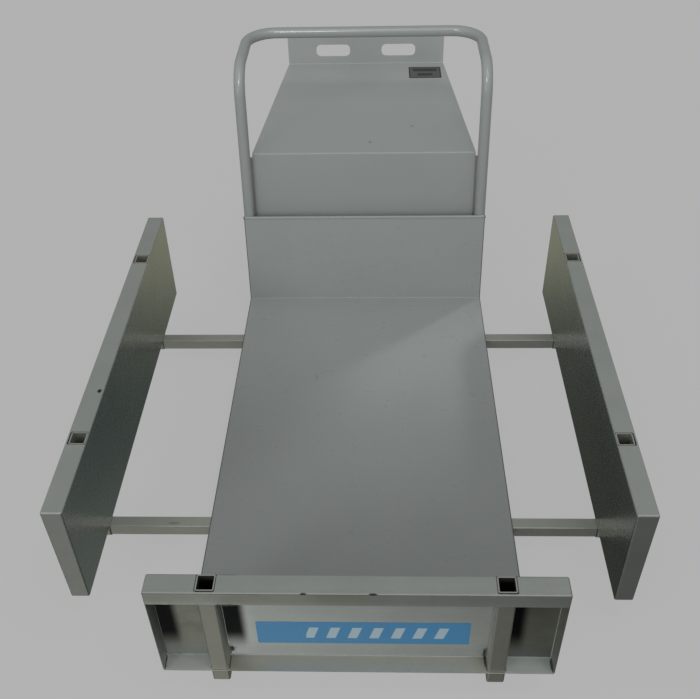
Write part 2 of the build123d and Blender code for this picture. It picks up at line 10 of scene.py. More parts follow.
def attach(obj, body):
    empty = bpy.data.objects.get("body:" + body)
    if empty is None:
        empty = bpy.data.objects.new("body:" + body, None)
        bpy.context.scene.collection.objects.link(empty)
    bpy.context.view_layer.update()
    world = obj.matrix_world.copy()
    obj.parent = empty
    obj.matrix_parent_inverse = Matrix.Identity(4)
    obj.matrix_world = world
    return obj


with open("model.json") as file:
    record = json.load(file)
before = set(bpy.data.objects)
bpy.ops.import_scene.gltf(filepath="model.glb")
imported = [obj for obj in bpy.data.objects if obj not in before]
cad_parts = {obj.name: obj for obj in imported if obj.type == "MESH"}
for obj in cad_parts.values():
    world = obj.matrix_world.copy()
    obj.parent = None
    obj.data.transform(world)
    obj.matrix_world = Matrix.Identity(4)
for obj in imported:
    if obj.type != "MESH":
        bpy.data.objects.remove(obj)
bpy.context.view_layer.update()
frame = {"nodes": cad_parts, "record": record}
NODES = frame["nodes"]
SCENE = bpy.context.scene

# ------------------------------------------------------------------ node graphs


class Graph:
    """Short names for building a node tree."""

    def __init__(self, tree):
        self.tree = tree
        tree.nodes.clear()

    def node(self, kind, inputs=None, **props):
        n = self.tree.nodes.new(kind)
        for k, v in props.items():
            setattr(n, k, v)
        for k, v in (inputs or {}).items():
            self.put(n.inputs[k], v)
        return n

    def put(self, socket, value):
        if isinstance(value, bpy.types.NodeSocket):
            self.tree.links.new(value, socket)
        else:
            socket.default_value = value

    def math(self, op, a, b=0.0, c=0.0, clamp=False):
        n = self.node("ShaderNodeMath", {0: a, 1: b, 2: c}, operation=op, use_clamp=clamp)
        return n.outputs[0]

    def vmath(self, op, a, b=(0, 0, 0)):
        n = self.node("ShaderNodeVectorMath", {0: a, 1: b}, operation=op)
        return n.outputs[0]

    def span(self, v, a, b, c=0.0, d=1.0, smooth=True):
        """v between a and b becomes c to d."""
        n = self.node("ShaderNodeMapRange", {0: v, 1: a, 2: b, 3: c, 4: d},
                      interpolation_type="SMOOTHSTEP" if smooth else "LINEAR")
        return n.outputs[0]

    def mix(self, f, a, b, mode="MIX"):
        n = self.node("ShaderNodeMix", data_type="RGBA", blend_type=mode)
        self.put(n.inputs[0], f)
        self.put(n.inputs[6], a)
        self.put(n.inputs[7], b)
        return n.outputs[2]

    def ramp(self, f, stops, mode="LINEAR"):
        n = self.node("ShaderNodeValToRGB", {0: f})
        r = n.color_ramp
        r.interpolation = mode
        while len(r.elements) < len(stops):
            r.elements.new(0.5)
        for e, (pos, col) in zip(r.elements, stops):
            e.position = pos
        for e, (pos, col) in zip(r.elements, stops):
            e.color = (*col, 1.0) if len(col) == 3 else col
        return n.outputs[0]

    def noise(self, vec, scale, detail=2.0, rough=0.5, lac=2.0):
        n = self.node("ShaderNodeTexNoise", {"Vector": vec, "Scale": scale, "Detail": detail, "Roughness": rough, "Lacunarity": lac})
        return n.outputs[0]

    def cells(self, vec, scale, feature="F1"):
        n = self.node("ShaderNodeTexVoronoi", {"Vector": vec, "Scale": scale}, feature=feature)
        return n.outputs["Distance"], n.outputs.get("Color")

    def scaled(self, vec, x, y, z):
        return self.node("ShaderNodeMapping", {"Vector": vec, "Scale": (x, y, z)}).outputs[0]

    def xyz(self, vec):
        n = self.node("ShaderNodeSeparateXYZ", {0: vec})
        return n.outputs[0], n.outputs[1], n.outputs[2]

    def grey(self, v):
        n = self.node("ShaderNodeCombineColor", {0: v, 1: v, 2: v})
        return n.outputs[0]

    def blob(self, vec, centre, radii, soft=0.35, ragged=0.0, scale=300.0):
        """1 inside an ellipsoid, 0 outside, with a soft and ragged rim."""
        d = self.vmath("SUBTRACT", vec, centre)
        d = self.vmath("DIVIDE", d, radii)
        r = self.node("ShaderNodeVectorMath", {0: d}, operation="LENGTH").outputs["Value"]
        if ragged:
            r = self.math("ADD", r, self.math("MULTIPLY", self.math("SUBTRACT", self.noise(vec, scale, 3.0, 0.6), 0.5), ragged))
        return self.span(r, 1.0 - soft, 1.0 + soft, 1.0, 0.0)


def material(name):
    m = bpy.data.materials.new(name)
    m.use_nodes = True
    g = Graph(m.node_tree)
    g.out = g.node("ShaderNodeOutputMaterial")
    g.bsdf = g.node("ShaderNodeBsdfPrincipled")
    g.tree.links.new(g.bsdf.outputs[0], g.out.inputs[0])
    g.P = g.node("ShaderNodeTexCoord").outputs["Object"]
    return m, g


def times(g, col, value):
    """A colour times a number from the graph."""
    return g.mix(1.0, col, g.grey(value), "MULTIPLY")


# ------------------------------------------------------------------- materials
# a mark is (centre, radii, colour, strength, raggedness)

def paint_material(name, colour, rough, marks=(), specks=0.08, wave=0.0035, light_and_shade_along_y=None, shaded_edge_half_width=None):
    """Satin powder coat: faint mottling, a few dust specks, orange peel, a slightly uneven sheet.
    wear is (y from, y to, shade there, shade here): painted light and shade, the colour scaled from one value to the
    other along y. edge is half the width: a dark line is painted along both sheared edges, as painted shade."""
    m, g = material(name)
    big = g.span(g.noise(g.P, 4.5, 3.0, 0.55), 0.3, 0.7, 0.982, 1.016)
    fine = g.span(g.noise(g.P, 240.0, 2.0, 0.6), 0.25, 0.75, 0.985, 1.015)
    shade = g.math("MULTIPLY", big, fine)
    if light_and_shade_along_y:
        shade = g.math("MULTIPLY", shade, g.span(g.xyz(g.P)[1], *light_and_shade_along_y))
    if shaded_edge_half_width:
        shade = g.math("MULTIPLY", shade, g.span(g.math("ABSOLUTE", g.xyz(g.P)[0]), shaded_edge_half_width - 0.0034, shaded_edge_half_width - 0.0016, 1.0, 0.34))
    col = times(g, (*colour, 1.0), shade)
    d, c = g.cells(g.P, 21.0)
    r, gr, b = g.node("ShaderNodeSeparateColor", {0: c}).outputs
    few = g.math("GREATER_THAN", r, 0.955)
    dot = g.math("MULTIPLY", few, g.span(d, 0.018, 0.05, 1.0, 0.0))
    col = g.mix(g.math("MULTIPLY", dot, specks), col, (0.14, 0.15, 0.145, 1))
    for centre, radii, mark, strength, ragged in marks:
        f = g.math("MULTIPLY", g.blob(g.P, centre, radii, 0.45, ragged), strength)
        col = g.mix(f, col, (*mark, 1.0))
    g.put(g.bsdf.inputs["Base Color"], col)
    g.put(g.bsdf.inputs["Roughness"], g.span(g.noise(g.P, 25.0, 3.0, 0.6), 0.3, 0.7, rough - 0.03, rough + 0.03))
    g.bsdf.inputs["Metallic"].default_value = 0.0
    g.bsdf.inputs["Specular IOR Level"].default_value = 0.5
    h = g.math("ADD", g.math("MULTIPLY", g.noise(g.P, 420.0, 2.0, 0.5), 0.00003),
               g.math("MULTIPLY", g.noise(g.P, 3.2, 1.0, 0.4), wave))
    bump = g.node("ShaderNodeBump", {"Strength": 1.0, "Distance": 1.0, "Height": h})
    g.put(g.bsdf.inputs["Normal"], bump.outputs[0])
    return m


def steel_material(name, colour, metallic, rough, grain=0.03, blotch=0.025, marks=(), smooth=None, streak=(4.0, 4.0, 160.0),
                   pit=0.000006, wave=0.0008, film=None):
    """Semi-gloss zinc coat on rolled sheet or tube: fine grain, soft blotches, rolled streaks.
    smooth(g) lists zones, each a mask and the roughness there; film(g) lists zones, each a mask and what tints the coat
    there, which holds dirt and also painted light and shade."""
    m, g = material(name)
    gr = g.span(g.noise(g.P, 330.0, 3.0, 0.7), 0.25, 0.75, 1.0 - grain, 1.0 + grain)
    bl = g.span(g.noise(g.P, 9.0, 4.0, 0.6), 0.3, 0.7, 1.0 - blotch, 1.0 + blotch)
    st = g.span(g.noise(g.scaled(g.P, *streak), 1.0, 3.0, 0.6), 0.3, 0.7, 0.982, 1.018)
    col = times(g, (*colour, 1.0), g.math("MULTIPLY", g.math("MULTIPLY", gr, bl), st))
    for where, tint in (film(g) if film else ()):
        col = g.mix(where, col, g.mix(1.0, col, (*tint, 1.0), "MULTIPLY"))
    rv = g.span(g.noise(g.P, 60.0, 3.0, 0.65), 0.25, 0.75, rough - 0.012, rough + 0.012)
    for where, value in (smooth(g) if smooth else ()):
        own = g.span(g.noise(g.P, 90.0, 3.0, 0.6), 0.25, 0.75, value - 0.012, value + 0.012)
        rv = g.math("ADD", g.math("MULTIPLY", rv, g.math("SUBTRACT", 1.0, where)), g.math("MULTIPLY", own, where))
    for centre, radii, mark, strength, ragged in marks:
        f = g.math("MULTIPLY", g.blob(g.P, centre, radii, 0.45, ragged), strength)
        col = g.mix(f, col, (*mark, 1.0))
        rv = g.math("ADD", rv, g.math("MULTIPLY", f, 0.25))
    g.put(g.bsdf.inputs["Base Color"], col)
    g.put(g.bsdf.inputs["Roughness"], rv)
    g.bsdf.inputs["Metallic"].default_value = metallic
    g.bsdf.inputs["Specular IOR Level"].default_value = 0.5
    h = g.math("ADD", g.math("MULTIPLY", g.noise(g.P, 230.0, 2.0, 0.6), pit),
               g.math("MULTIPLY", g.noise(g.P, 5.0, 2.0, 0.5), wave))
    bump = g.node("ShaderNodeBump", {"Strength": 1.0, "Distance": 1.0, "Height": h})
    g.put(g.bsdf.inputs["Normal"], bump.outputs[0])
    return m


PAINT = (0.400, 0.424, 0.421)
M_PAINT = paint_material("paint", PAINT, 0.33)
# the hoop has a darker copy of the same grey paint: painted shade, so that its own lamp leaves the sides of the tube
# dark
M_HOOP = paint_material("paint_hoop", tuple(0.74 * c for c in PAINT), 0.24)
# painted light and shade on the floor: darker towards the front, lighter towards the headboard, and a painted dark line
# of shade along both sides
M_FLOOR = paint_material("paint_floor", PAINT, 0.30, light_and_shade_along_y=(-0.12, 0.50, 0.89, 1.17), shaded_edge_half_width=0.345, marks=[
    ((-0.1257, 0.170, 0.0875), (0.0045, 0.011, 0.004), (0.22, 0.26, 0.275), 0.34, 0.5),
    ((-0.02, -0.36, 0.0875), (0.006, 0.003, 0.004), (0.22, 0.24, 0.24), 0.4, 0.6)])
# painted light on the hood: its colour lighter, most towards the rear
M_HOOD = paint_material("paint_hood", PAINT, 0.33, light_and_shade_along_y=(0.62, 1.26, 1.03, 1.17), marks=[
    ((0.0176, 0.6906, 0.5185), (0.005, 0.006, 0.004), (0.17, 0.18, 0.175), 0.6, 0.5),
    ((0.1396, 0.7889, 0.5185), (0.004, 0.007, 0.004), (0.19, 0.20, 0.195), 0.6, 0.5)])

STEEL = (0.545, 0.570, 0.548)


def inner_left(g):
    x, y, z = g.xyz(g.P)
    return [(g.span(x, -0.5772, -0.5762, 0.0, 1.0), 0.27)]


def inner_right(g):
    x, y, z = g.xyz(g.P)
    return [(g.span(x, 0.5357, 0.5367, 1.0, 0.0), 0.27)]


def in_square(g, x, y, px, py, half, soft):
    """1 inside a square around an upright axis."""
    d = g.math("MAXIMUM", g.math("ABSOLUTE", g.math("SUBTRACT", x, px)), g.math("ABSOLUTE", g.math("SUBTRACT", y, py)))
    return g.span(d, half - soft, half + soft, 1.0, 0.0)


def sockets(g, places, top, clean, rim):
    """Darker inside the open tubes, more so below the first few millimetres, with a cut rim that is bare: painted shade
    of the tube interiors, together with dirt and rust.
    """
    x, y, z = g.xyz(g.P)
    inside = None
    for px, py in places:
        one = in_square(g, x, y, px, py, 0.0156, 0.0002)
        inside = one if inside is None else g.math("MAXIMUM", inside, one)
    inside = g.math("MULTIPLY", inside, g.span(z, 0.0540, 0.0550, 0.0, 1.0))
    near = g.math("MULTIPLY", inside, g.span(z, top - 0.0012, top - 0.0004, 1.0, 0.0))
    deep = g.math("MULTIPLY", inside, g.span(z, top - 0.015 - clean, top - clean, 1.0, 0.0))
    return [(near, (rim, rim, rim)), (deep, (0.22, 0.22, 0.22))]


def gate_sockets(g):
    return sockets(g, ((-0.272, -0.6855), (0.272, -0.6855)), 0.350, 0.004, 0.35)


def side_sockets(g):
    return sockets(g, ((-0.595, -0.3255), (-0.595, 0.347), (0.5545, -0.3255), (0.5545, 0.347)), 0.3545, 0.020, 0.95)


def gate_sheet(g, y):
    """1 on the outer face of the gate's sheet."""
    return g.math("MULTIPLY", g.span(y, -0.6686, -0.6682, 0.0, 1.0), g.span(y, -0.6676, -0.6672, 1.0, 0.0))


def gate_strips(g, x, y, places):
    """1 on strips of the sheet, for a painted shadow: each is sharp on one side, where it meets a post or the end
    flange and its weld, and soft on the other.
    """
    strips = None
    for start, end in places:
        one = g.math("MULTIPLY", g.span(x, start, start + 0.001, 0.0, 1.0), g.span(x, end, end + 0.020, 1.0, 0.0))
        strips = one if strips is None else g.math("MAXIMUM", strips, one)
    return g.math("MULTIPLY", gate_sheet(g, y), strips)


def gate_painted_light_and_dirt(g):
    """Painted light and shade on the gate, with some real dirt. Painted shade: the two end bays and, less, the lip are
    darker, the lip most on the left; the lower sheet and the inner face of the right end flange are darker. Painted
    shadow: black strips beside the left end flange and the posts. Painted light: the bottom flange is lighter, most in
    the bays, where it is also bluer. The top face is a little darker, with dark dirt in the joints around the posts."""
    x, y, z = g.xyz(g.P)
    patchy = g.span(g.noise(g.P, 14.0, 3.0, 0.6), 0.25, 0.75, 0.85, 1.0)
    # painted shade: the two end bays of the sheet darker, a little less at the very bottom
    bays = g.math("MULTIPLY", gate_sheet(g, y), g.span(g.math("ABSOLUTE", x), 0.270, 0.285, 0.0, 1.0))
    bays = g.math("MULTIPLY", bays, g.span(z, 0.092, 0.150, 0.92, 1.0))
    # painted shade: the lip darker, most on the left
    lip = g.math("MULTIPLY", g.span(y, -0.7088, -0.7080, 1.0, 0.0), g.span(x, -0.10, 0.32, 0.79, 0.42))
    # painted shadow: black strips on the upper sheet beside the left end flange and both posts
    painted_shadow_strips = g.math("MULTIPLY", gate_strips(g, x, y, ((-0.388, -0.358), (-0.2555, -0.228), (0.2885, 0.310))), g.span(z, 0.100, 0.172, 0.0, 1.0))
    painted_shadow_strips = g.math("MULTIPLY", painted_shadow_strips, g.span(g.noise(g.scaled(g.P, 40.0, 1.0, 12.0), 1.0, 3.0, 0.6), 0.2, 0.55, 0.975, 1.0))
    # painted light: the bottom flange lighter, and bluer in the end bays
    foot = g.math("MULTIPLY", g.span(z, 0.0915, 0.0925, 1.0, 0.0), g.span(y, -0.6695, -0.6690, 1.0, 0.0))
    ends = g.math("MULTIPLY", foot, g.span(g.math("ABSOLUTE", x), 0.285, 0.292, 0.0, 1.0))
    # painted shade: the lower part of the sheet darker
    low = g.math("MULTIPLY", gate_sheet(g, y), g.span(z, 0.095, 0.155, 1.0, 0.0))
    # painted shade: the inner face of the right end flange darker
    flange = g.math("MULTIPLY", g.span(x, 0.3825, 0.3832, 0.0, 1.0), g.span(y, -0.7085, -0.7080, 0.0, 1.0))
    # the top face a little darker, and dark dirt in the joints around the posts on it
    top = g.span(z, 0.3490, 0.3496, 0.0, 1.0)
    joint = g.math("MAXIMUM", in_square(g, x, y, -0.272, -0.6855, 0.0190, 0.0004), in_square(g, x, y, 0.272, -0.6855, 0.0190, 0.0004))
    return [(g.math("MULTIPLY", patchy, g.math("MAXIMUM", bays, lip)), (0.34, 0.33, 0.28)), (painted_shadow_strips, (0.010, 0.011, 0.012)),
            (foot, (1.43, 1.32, 1.22)), (ends, (1.014, 1.098, 1.226)), (low, (0.72, 0.74, 0.78)), (flange, (0.60, 0.59, 0.55)), (top, (0.93, 0.93, 0.94)), (g.math("MULTIPLY", joint, top), (0.16, 0.16, 0.16))]


def side_joints(g, px):
    """Dirt in the joint around the posts, on the top flange of a side panel."""
    x, y, z = g.xyz(g.P)
    joint = g.math("MAXIMUM", in_square(g, x, y, px, -0.3255, 0.0190, 0.0004), in_square(g, x, y, px, 0.347, 0.0190, 0.0004))
    return [(g.math("MULTIPLY", joint, g.span(z, 0.3535, 0.3541, 0.0, 1.0)), (0.30, 0.30, 0.30))]


def gate_zones(g):
    """Dullest in the middle, smoother on the bottom flange."""
    x, y, z = g.xyz(g.P)
    on_sheet = gate_sheet(g, y)
    middle = g.math("MULTIPLY", on_sheet, g.span(g.math("ABSOLUTE", x), 0.185, 0.250, 1.0, 0.0))
    foot = g.math("MULTIPLY", g.span(z, 0.0915, 0.0925, 1.0, 0.0), g.span(y, -0.6695, -0.6690, 1.0, 0.0))
    ends = g.math("MULTIPLY", foot, g.span(g.math("ABSOLUTE", x), 0.285, 0.292, 0.0, 1.0))
    return [(middle, 0.68), (foot, 0.52), (ends, 0.78)]


M_LEFT = steel_material("left_panel_sheet", STEEL, 1.0, 0.58, smooth=inner_left, film=lambda g: side_joints(g, -0.595), pit=0.0000007, marks=[
    ((-0.5846, -0.1779, 0.3545), (0.0042, 0.0062, 0.004), (0.03, 0.03, 0.03), 0.95, 0.5)])
M_RIGHT = steel_material("right_panel_sheet", STEEL, 1.0, 0.60, smooth=inner_right, film=lambda g: side_joints(g, 0.5545), pit=0.0000012)
M_GATE = steel_material("gate_sheet", STEEL, 1.0, 0.62, streak=(3.0, 60.0, 160.0), smooth=gate_zones, film=gate_painted_light_and_dirt, wave=0.0005, marks=[
    ((-0.0929, -0.7090, 0.3494), (0.0055, 0.0030, 0.0016), (0.03, 0.03, 0.028), 0.9, 0.9),
    ((0.0316, -0.7090, 0.3494), (0.0075, 0.0030, 0.0016), (0.03, 0.03, 0.028), 0.9, 0.9),
    # the four dark marks below, at the feet of the posts and of the right end flange, are partly weld soot and partly
    # painted shadow of the posts
    ((-0.2495, -0.6680, 0.1090), (0.0035, 0.0040, 0.0085), (0.035, 0.037, 0.037), 0.8, 1.4),
    ((0.2510, -0.6690, 0.1010), (0.0035, 0.0060, 0.0140), (0.030, 0.032, 0.032), 0.85, 1.2),
    ((0.2520, -0.6780, 0.0890), (0.0030, 0.0120, 0.0040), (0.030, 0.032, 0.032), 0.85, 1.2),
    ((0.3815, -0.6860, 0.0890), (0.0028, 0.0140, 0.0050), (0.030, 0.032, 0.032), 0.85, 1.2)])
M_TUBE = steel_material("tube_steel", (0.50, 0.51, 0.465), 0.72, 0.50, streak=(60.0, 60.0, 60.0), film=side_sockets, marks=[
    ((-0.4297, -0.3304, 0.0825), (0.013, 0.004, 0.004), (0.26, 0.26, 0.235), 0.5, 0.9)])
M_POST = steel_material("post_steel", (0.54, 0.55, 0.50), 1.0, 0.62, streak=(60.0, 60.0, 60.0), film=gate_sockets)
M_ZINC = steel_material("zinc", (0.66, 0.665, 0.65), 1.0, 0.33, grain=0.08)
M_WELD = steel_material("weld", (0.17, 0.17, 0.155), 0.9, 0.58, grain=0.16, blotch=0.2)


def plain(name, colour, rough, grain):
    m, g = material(name)
    v = g.span(g.noise(g.P, grain, 3.0, 0.6), 0.25, 0.75, 0.9, 1.1)
    g.base = times(g, (*colour, 1), v)
    g.put(g.bsdf.inputs["Base Color"], g.base)
    g.put(g.bsdf.inputs["Roughness"], g.span(g.noise(g.P, grain * 0.3, 2.0), 0.3, 0.7, rough - 0.05, rough + 0.05))
    return m, g


def band(g, v, centre, half, soft):
    """1 where v lies within half of centre."""
    return g.span(g.math("ABSOLUTE", g.math("SUBTRACT", v, centre)), half - soft, half + soft, 1.0, 0.0)


M_CAP, _ = plain("black_plastic", (0.022, 0.022, 0.023), 0.5, 900.0)

# rating plate: grey film with a dark frame and two blank dark fields
M_PLATE, g = plain("dark_plate", (0.135, 0.14, 0.14), 0.4, 700.0)
x, y, z = g.xyz(g.P)
inside = g.math("MULTIPLY", band(g, x, 0.192, 0.0475, 0.0006), band(g, y, 1.173, 0.039, 0.0006))
field = g.math("ADD", g.math("MULTIPLY", band(g, x, 0.192, 0.039, 0.0008), band(g, y, 1.192, 0.0105, 0.0008)),
               g.math("MULTIPLY", band(g, x, 0.192, 0.024, 0.0008), band(g, y, 1.156, 0.0095, 0.0008)))
col = g.mix(inside, (0.018, 0.018, 0.019, 1), g.base)
col = g.mix(g.math("MULTIPLY", field, 0.85), col, (0.02, 0.02, 0.021, 1))
g.put(g.bsdf.inputs["Base Color"], col)

# gate film: blue band with pale slanted bars
M_FILM, g = plain("blue_film", (0.058, 0.230, 0.435), 0.52, 500.0)
g.bsdf.inputs["Specular IOR Level"].default_value = 0.25
x, y, z = g.xyz(g.P)
run = g.math("ADD", x, g.math("MULTIPLY", z, -0.30))
saw = g.math("PINGPONG", g.math("ADD", run, 1.0), 0.021)
bars = g.span(saw, 0.0112, 0.0122, 0.0, 1.0)
bars = g.math("MULTIPLY", bars, band(g, z, 0.167, 0.0175, 0.0006))
bars = g.math("MULTIPLY", bars, band(g, x, 0.045, 0.145, 0.0006))
col = g.mix(g.math("MULTIPLY", bars, 0.95), g.base, (0.40, 0.50, 0.56, 1))
g.put(g.bsdf.inputs["Base Color"], col)

SLOTS = {"paint": M_PAINT, "panel_sheet": M_GATE, "tube_steel": M_TUBE, "zinc": M_ZINC,
         "black_plastic": M_CAP, "dark_plate": M_PLATE, "blue_film": M_FILM}
OWN = {"floor_pan": M_FLOOR, "engine_hood": M_HOOD, "guard_hoop": M_HOOP, "gate_left_post": M_POST, "gate_right_post": M_POST, "left_panel": M_LEFT, "right_panel": M_RIGHT, "front_gate": M_GATE}
for part in frame["record"]["subparts"]:
    o = NODES[part["node"]]
    o.data.materials.clear()
    o.data.materials.append(OWN.get(part["node"]) or SLOTS[part["material_slot"]])

# ------------------------------------------------------------------ weld beads


class Beads:
    """Rippled weld beads and spatter, gathered in one mesh."""

    def __init__(self, seed):
        self.bm = bmesh.new()
        self.rnd = random.Random(seed)

    def ring(self, c, u, v, ru, rv, n=8):
        return [self.bm.verts.new(c + u * (ru * math.cos(k * math.tau / n)) + v * (rv * math.sin(k * math.tau / n))) for k in range(n)]

    def bead(self, points, r, flat=(0, 0, 1), closed=False):
        """A bead along a chain of points in mm; flat is a direction that isn't along the chain."""
        pts = [Vector(p) * 0.001 for p in points]
        if closed:
            pts.append(pts[0].copy())
        r *= 0.001
        total = sum((b - a).length for a, b in zip(pts, pts[1:]))
        pitch = 1.5 * r
        steps = max(6, int(total / pitch) * 4)
        phase = self.rnd.uniform(0, 6.28)
        rings = []
        for k in range(steps + (0 if closed else 1)):
            s = total * k / steps
            rest = s
            for a, b in zip(pts, pts[1:]):
                length = (b - a).length
                if rest <= length or b is pts[-1]:
                    t = min(1.0, rest / length)
                    c = a.lerp(b, t)
                    d = (b - a).normalized()
                    break
                rest -= length
            u = d.cross(Vector(flat))
            u = u.normalized() if u.length > 1e-6 else d.orthogonal().normalized()
            v = d.cross(u)
            wob = 1.0 + 0.13 * math.sin(math.tau * s / pitch + phase) + self.rnd.uniform(-0.07, 0.07)
            end = 1.0
            if not closed:
                end = min(1.0, 0.25 + min(s, total - s) / (1.4 * r))
            c = c + u * self.rnd.uniform(-0.06, 0.06) * r
            rings.append(self.ring(c, u, v, r * wob * end, r * wob * end))
        n = len(rings[0])
        pairs = list(zip(rings, rings[1:]))
        if closed:
            pairs.append((rings[-1], rings[0]))
        for a, b in pairs:
            for k in range(n):
                self.bm.faces.new((a[k], a[(k + 1) % n], b[(k + 1) % n], b[k]))
        if not closed:
            self.bm.faces.new(list(reversed(rings[0])))
            self.bm.faces.new(rings[-1])

    def drops(self, centre, spread, count, big=1.3, flat=1):
        """Spatter drops, pressed against the surface that is square to axis number flat."""
        for _ in range(count):
            c = Vector([centre[i] + (0.0 if i == flat else self.rnd.gauss(0, spread[i])) for i in range(3)]) * 0.001
            r = self.rnd.uniform(0.45, 1.0) * big * 0.001
            m = Matrix.Translation(c) @ Matrix.Diagonal([r * (0.55 if i == flat else self.rnd.uniform(0.8, 1.25)) for i in range(3)] + [1.0])
            bmesh.ops.create_icosphere(self.bm, subdivisions=2, radius=1.0, matrix=m)

    def done(self, name, body, mat):
        bmesh.ops.recalc_face_normals(self.bm, faces=self.bm.faces)
        for f in self.bm.faces:
            f.smooth = True
        me = bpy.data.meshes.new(name)
        self.bm.to_mesh(me)
        self.bm.free()
        o = bpy.data.objects.new(name, me)
        SCENE.collection.objects.link(o)
        me.materials.append(mat)
        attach(o, body)
        return o


METAL = [NODES[n] for n in NODES if n.endswith(("_panel", "_post", "_arm")) or n in ("front_gate", "gate_decal")]

# gate: posts to sheet, posts to the bottom flange, arms to posts, tray corners
w = Beads(11)
for s in (-1, 1):
    cx = s * 272.0
    for e in (-1, 1):
        x = cx + e * 17.6
        w.bead([(x, -668.2, 92), (x, -668.2, 128 if e * s > 0 else 118)], 2.1)
        w.bead([(x, -668.2, 262), (x, -668.2, 312)], 2.0)
        w.bead([(x, -671, 89.2), (x, -701, 89.2)], 1.9)
    w.bead([(cx - 14.6, -668, 52.9), (cx + 14.6, -668, 52.9), (cx + 14.6, -668, 82.1), (cx - 14.6, -668, 82.1)], 1.7, flat=(0, 1, 0), closed=True)
    w.bead([(s * 382.6, -672, 89.6), (s * 382.6, -702, 89.6)], 1.7)
    w.bead([(s * 382.6, -672, 347.4), (s * 382.6, -704, 347.4)], 1.7)
    w.drops((cx + 24, -668.1, 112), (6, 0, 9), 16)
    w.drops((cx - 23, -668.1, 105), (5, 0, 7), 9)
w.bead([(-253, -707.6, 315.4), (-243, -707.6, 315.0), (-233, -707.8, 315.2), (-216, -707.9, 315.1)], 1.5)
w.drops((-232, -709.0, 314.0), (10, 0, 1.5), 14, 1.5)
w.drops((-238, -668.1, 290), (8, 0, 9), 12)
METAL.append(w.done("gate_welds", "gate", M_WELD))

# side panels: the same joints
for sign, face, prefix in ((-1, 575.5, "left"), (1, 535.0, "right")):
    w = Beads(21 if sign < 0 else 31)
    xs = sign * (face + 2.2)
    for y in (-325.5, 347.0):
        for e in (-1, 1):
            w.bead([(xs, y + e * 17.6, 90), (xs, y + e * 17.6, 126)], 2.1)
            w.bead([(xs, y + e * 17.6, 250), (xs, y + e * 17.6, 310)], 2.0)
            w.bead([(sign * (face + 5), y + e * 17.6, 84.7), (sign * (face + 35), y + e * 17.6, 84.7)], 1.9)
        xa = sign * (face + 2.0)
        w.bead([(xa, y - 14.6, 52.9), (xa, y + 14.6, 52.9), (xa, y + 14.6, 81.4), (xa, y - 14.6, 81.4)], 1.6, flat=(1, 0, 0), closed=True)
        w.drops((sign * (face + 2.1), y + 26, 110), (0, 6, 9), 10, flat=0)
    for y, e in ((-531.0, 1), (561.0, -1)):
        w.bead([(sign * (face + 6), y + e * 2.4, 85.1), (sign * (face + 36), y + e * 2.4, 85.1)], 1.7)
        w.bead([(sign * (face + 6), y + e * 2.4, 351.9), (sign * (face + 40), y + e * 2.4, 351.9)], 1.7)
    METAL.append(w.done(prefix + "_side_welds", prefix + "_side", M_WELD))

# bed: guides and cross members to rails and floor, hoop to its feet and brackets
w = Beads(41)
LEAN = math.radians(8.0)
for y in (-325.5, 347.0, 15.0, 550.0):
    for s in (-1, 1):
        for e in (-1, 1):
            w.bead([(s * 180 - 13, y + e * 17.6, 49.8), (s * 180 + 13, y + e * 17.6, 49.8)], 2.4)
            if y < 500:
                w.bead([(s * 215, y + e * 17.6, 84.6), (s * 255, y + e * 17.6, 84.6)], 2.2)
                w.bead([(s * 60, y + e * 17.6, 84.6), (s * 100, y + e * 17.6, 84.6)], 2.2)
for s in (-1, 1):
    for e in (-1, 1):
        w.bead([(s * 272 + e * 17.6, -500, 84.6), (s * 272 + e * 17.6, -460, 84.6)], 2.2)
        w.bead([(s * 272 + e * 17.6, -343.2, 53), (s * 272 + e * 17.6, -343.2, 82)], 2.2, flat=(0, 1, 0))
    leg_y = 530.0 + 2.5 * math.tan(LEAN) + 20.3 / math.cos(LEAN)
    ring = []
    for k in range(25):
        a = math.radians(44.0 + 272.0 * k / 24)
        ring.append((s * (331.0 + 15.6 * math.cos(a)), leg_y + 15.6 * math.sin(a), 90.3))
    w.bead(ring, 2.2)
BED_WELDS = w.done("bed_welds", "bed", M_PAINT)

# ------------------------------------------------------------ threads, lock screws


def thread(name, body, x, y, z0, z1, r, pitch):
    bm = bmesh.new()
    n = 20
    turns = (z1 - z0) / pitch
    rows = []
    for k in range(int(turns * n) + 1):
        a = k * math.tau / n
        z = z0 + pitch * k / n
        end = min(1.0, k / n, (turns * n - k) / n)
        row = []
        for dr, dz in ((-0.5, -0.62), (0.32 * end, 0.0), (-0.5, 0.62)):
            rr = r + dr
            row.append(bm.verts.new(((x + rr * math.cos(a)) * 0.001, (y + rr * math.sin(a)) * 0.001, (z + dz) * 0.001)))
        rows.append(row)
    for a, b in zip(rows, rows[1:]):
        for k in range(3):
            j = (k + 1) % 3
            bm.faces.new((a[k], a[j], b[j], b[k]))
    bm.faces.new(rows[0])
    bm.faces.new(list(reversed(rows[-1])))
    bmesh.ops.recalc_face_normals(bm, faces=bm.faces)
    me = bpy.data.meshes.new(name)
    bm.to_mesh(me)
    bm.free()
    o = bpy.data.objects.new(name, me)
    SCENE.collection.objects.link(o)
    me.materials.append(M_ZINC)
    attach(o, body)


for body, (x, y) in {"left_front_lock": (-308, -325.5), "left_rear_lock": (-308, 347.0), "right_front_lock": (308, -325.5),
                     "right_rear_lock": (308, 347.0), "gate_left_lock": (-272, -507.0), "gate_right_lock": (272, -507.0)}.items():
    thread(body + "_thread", body, x, y, 26.5, 41.0, 5.0, 1.5)

# ------------------------------------------------------------------ stage, light

FLOOR_GLOW, FLOOR_ALBEDO = 0.385, 0.13


